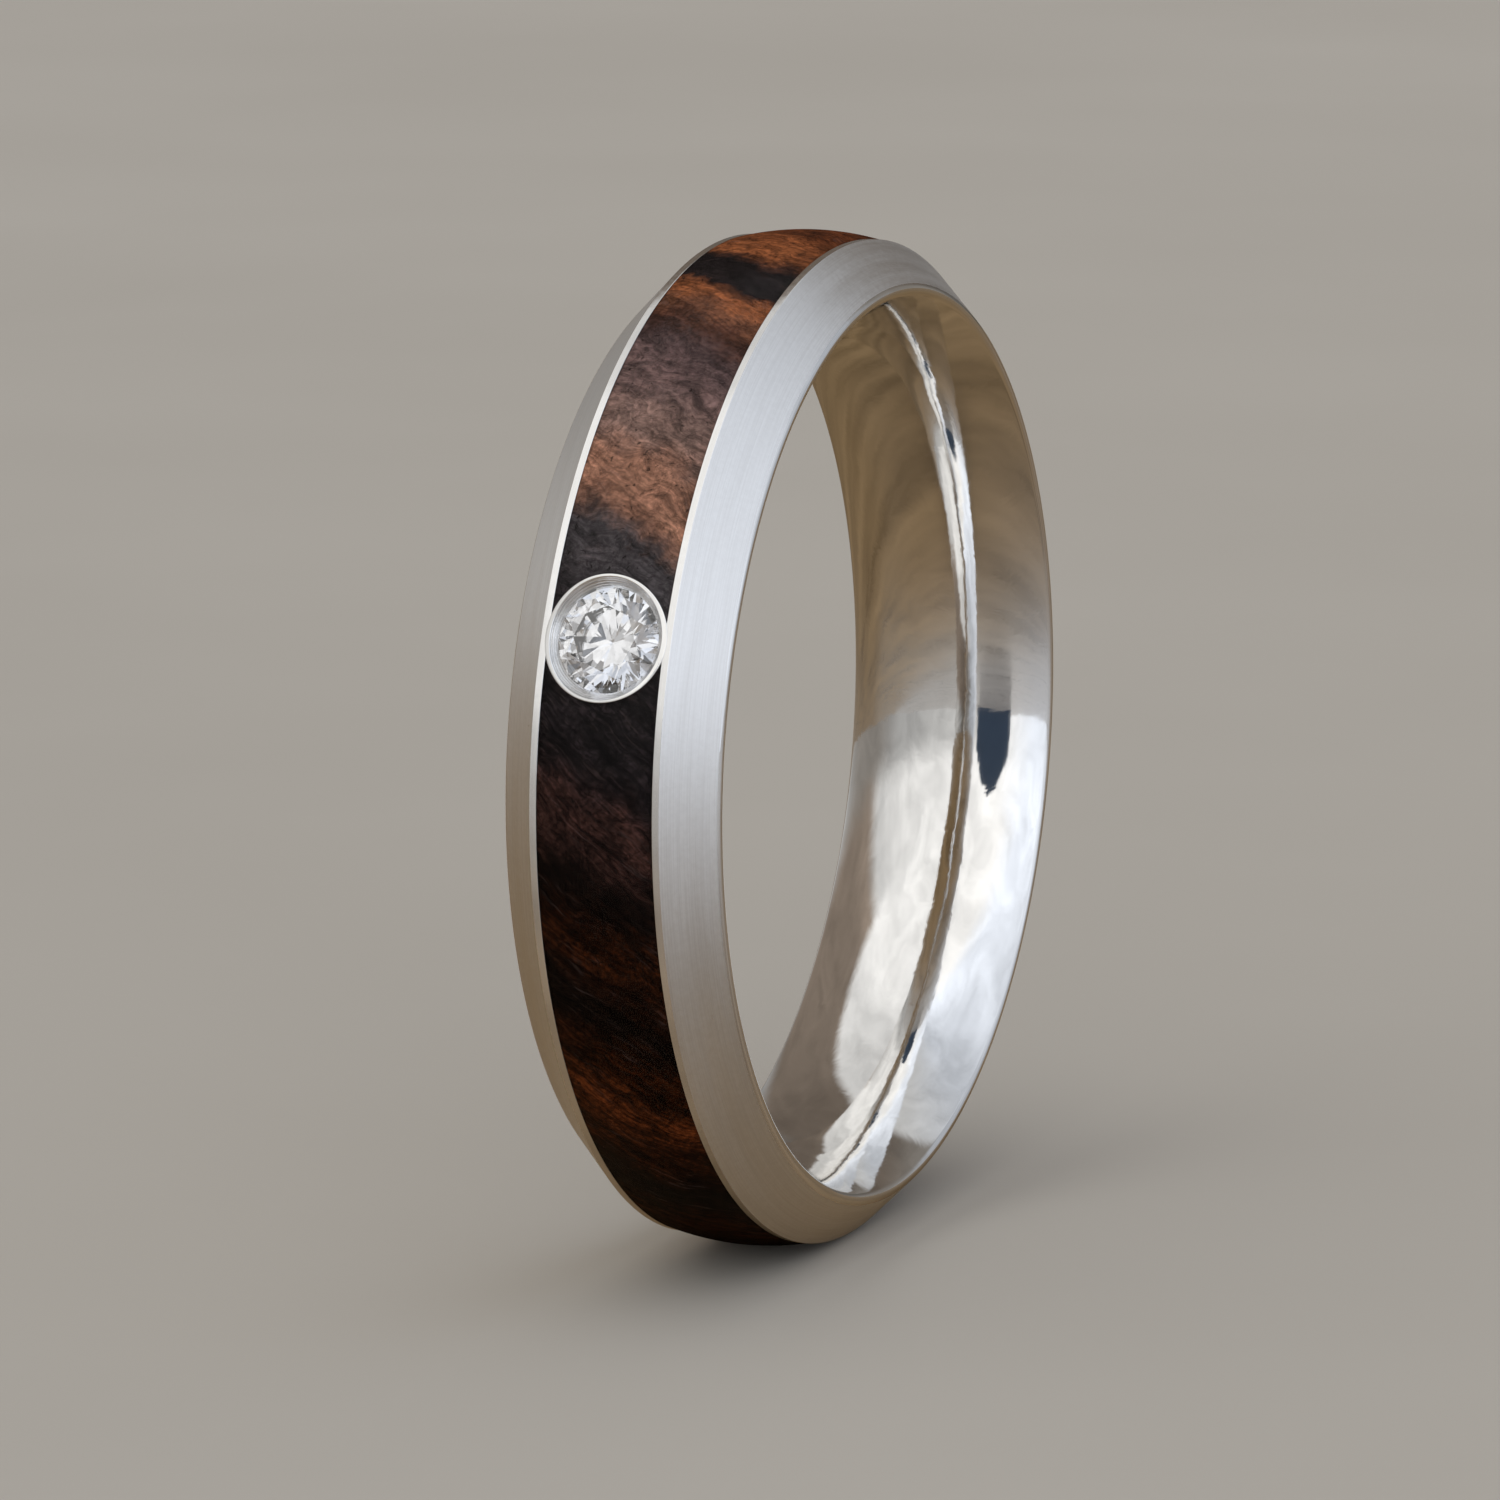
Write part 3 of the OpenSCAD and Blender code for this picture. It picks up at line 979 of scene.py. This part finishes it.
def grain_surface(name, near, far, stretch, roughness):
    """A cloudy grain, drawn out across the photograph's view by stretch.

    near and far are the pairs of tones that the grain mixes. Towards TABLE_AZIMUTH, near goes
    as far as TABLE_NEAR_MM and far starts at TABLE_FAR_MM. On the table the far tones are a
    painted sheen of the windows. roughness is a pair of limits.
    """
    g = Graph(name)
    place_at = g.place_mm()
    turned = g.node("ShaderNodeMapping", {
        "Vector": place_at, "Rotation": (0, 0, math.radians(-CAMERA_AZIMUTH)),
        "Scale": (1.0, stretch, 1.0)})
    cloud = g.noise(turned.outputs[0], 0.02, detail=4.0, roughness=0.6)
    share = g.remap(cloud, 0.3, 0.7, 0.0, 1.0)
    away = along(g, place_at, direction(TABLE_AZIMUTH, 0))
    # Towards TABLE_AZIMUTH the colour moves from the near tones to the far ones, which on the table
    # are a painted sheen of the windows.
    colour = g.mix(g.remap(away, TABLE_NEAR_MM, TABLE_FAR_MM, 0.0, 1.0, True),
                   g.mix(share, (*near[0], 1), (*near[1], 1)),
                   g.mix(share, (*far[0], 1), (*far[1], 1)))
    shader = g.node("ShaderNodeBsdfPrincipled", {
        "Base Color": colour, "Roughness": g.remap(cloud, 0.3, 0.7, *roughness),
        "Specular IOR Level": 0.2})
    return g.surface(shader.outputs[0])


def floor_profile():
    """(distance, height) from the floor's inner edge out and up the wall."""
    angles = [math.pi / 2 * i / CURVE_STEPS for i in range(CURVE_STEPS + 1)]
    start = FLOOR_REACH - FLOOR_CURVE
    curve = [(start + FLOOR_CURVE * math.sin(a), FLOOR_CURVE - FLOOR_CURVE * math.cos(a))
             for a in angles]
    return [(FLOOR_CENTRE, 0.0), (FLOOR_FLAT, 0.0)] + curve + [(FLOOR_REACH, WALL_HEIGHT)]


def make_floor():
    """A pale floor that curves up into a wall. Only the camera sees it."""
    profile = floor_profile()
    bm = bmesh.new()
    rings = []
    for k in range(FLOOR_SIDES):
        angle = TURN * k / FLOOR_SIDES
        c, d = math.cos(angle), math.sin(angle)
        rings.append([bm.verts.new((q * c, q * d, FLOOR_Z + up)) for q, up in profile])
    for k in range(FLOOR_SIDES):
        here, there = rings[k], rings[(k + 1) % FLOOR_SIDES]
        for i in range(len(profile) - 1):
            bm.faces.new((here[i], there[i], there[i + 1], here[i + 1]))
    bm.faces.new([ring[0] for ring in rings])
    material = grain_surface("pale_floor", FLOOR_TONES, FLOOR_TONES, 1.0, (0.6, 0.7))
    pale = finish_mesh("pale_floor", bm, [material])
    pale.visible_diffuse = False
    pale.visible_glossy = False
    pale.visible_transmission = False
    pale.visible_shadow = False


def make_table():
    """A warm table just under the floor, lighter towards the windows with a painted sheen. The ring
    mirrors it, and the camera doesn't see it.
    """
    bm = bmesh.new()
    bmesh.ops.create_grid(bm, x_segments=TABLE_GRID, y_segments=TABLE_GRID, size=TABLE_REACH)
    bmesh.ops.translate(bm, verts=bm.verts, vec=(0, 0, FLOOR_Z - TABLE_DROP))
    material = grain_surface("warm_table", TABLE_NEAR, TABLE_FAR, 8.0, (0.25, 0.35))
    table = finish_mesh("warm_table", bm, [material])
    table.visible_camera = False


def make_camera():
    """The camera, at the photograph's viewing angle."""
    back = direction(CAMERA_AZIMUTH, CAMERA_ELEVATION)
    right = direction(CAMERA_AZIMUTH + 90, 0)
    up = back.cross(right)
    data = bpy.data.cameras.new("camera")
    data.lens = LENS_MM
    data.sensor_width = SENSOR_MM
    data.clip_start = 0.01
    data.clip_end = 10
    camera = bpy.data.objects.new("camera", data)
    camera.location = back * CAMERA_DISTANCE + right * CAMERA_RIGHT + up * CAMERA_UP
    camera.rotation_euler = back.to_track_quat("Z", "Y").to_euler()
    bpy.context.scene.collection.objects.link(camera)
    bpy.context.scene.camera = camera


# ---------------------------------------------------------------- the scene

satin = satin_silver()
polished = rim_silver()
make_liner(mirror_silver())
make_edge_ring(-1, "edge_ring_left_satin", "edge_ring_left", satin, polished)
make_edge_ring(1, "edge_ring_right_satin", "edge_ring_right", satin, polished)
make_wood(1, "burl_upper", "wood_inlay_upper", burl_wood(
    "burl_wood_upper", seed=3.7, lean=0.46, wander=2.0, contrast=1.0, paleness=0.20))
make_wood(-1, "burl_lower", "wood_inlay_lower", burl_wood(
    "burl_wood_lower", seed=8.2, lean=0.75, wander=1.2, contrast=1.8, paleness=0.18))
make_coat(clear_finish(), clear_inside())
make_bezel(bezel_silver())
make_stone(diamond())

bond = frame["nodes"]["inlay_bond"]
bond.data.materials.clear()
bond.data.materials.append(bond_resin())

make_floor()
make_table()
make_world()
make_dark_card()
make_camera()
bpy.context.scene.cycles.glossy_bounces = 12
bpy.context.scene.view_settings.view_transform = "Standard"
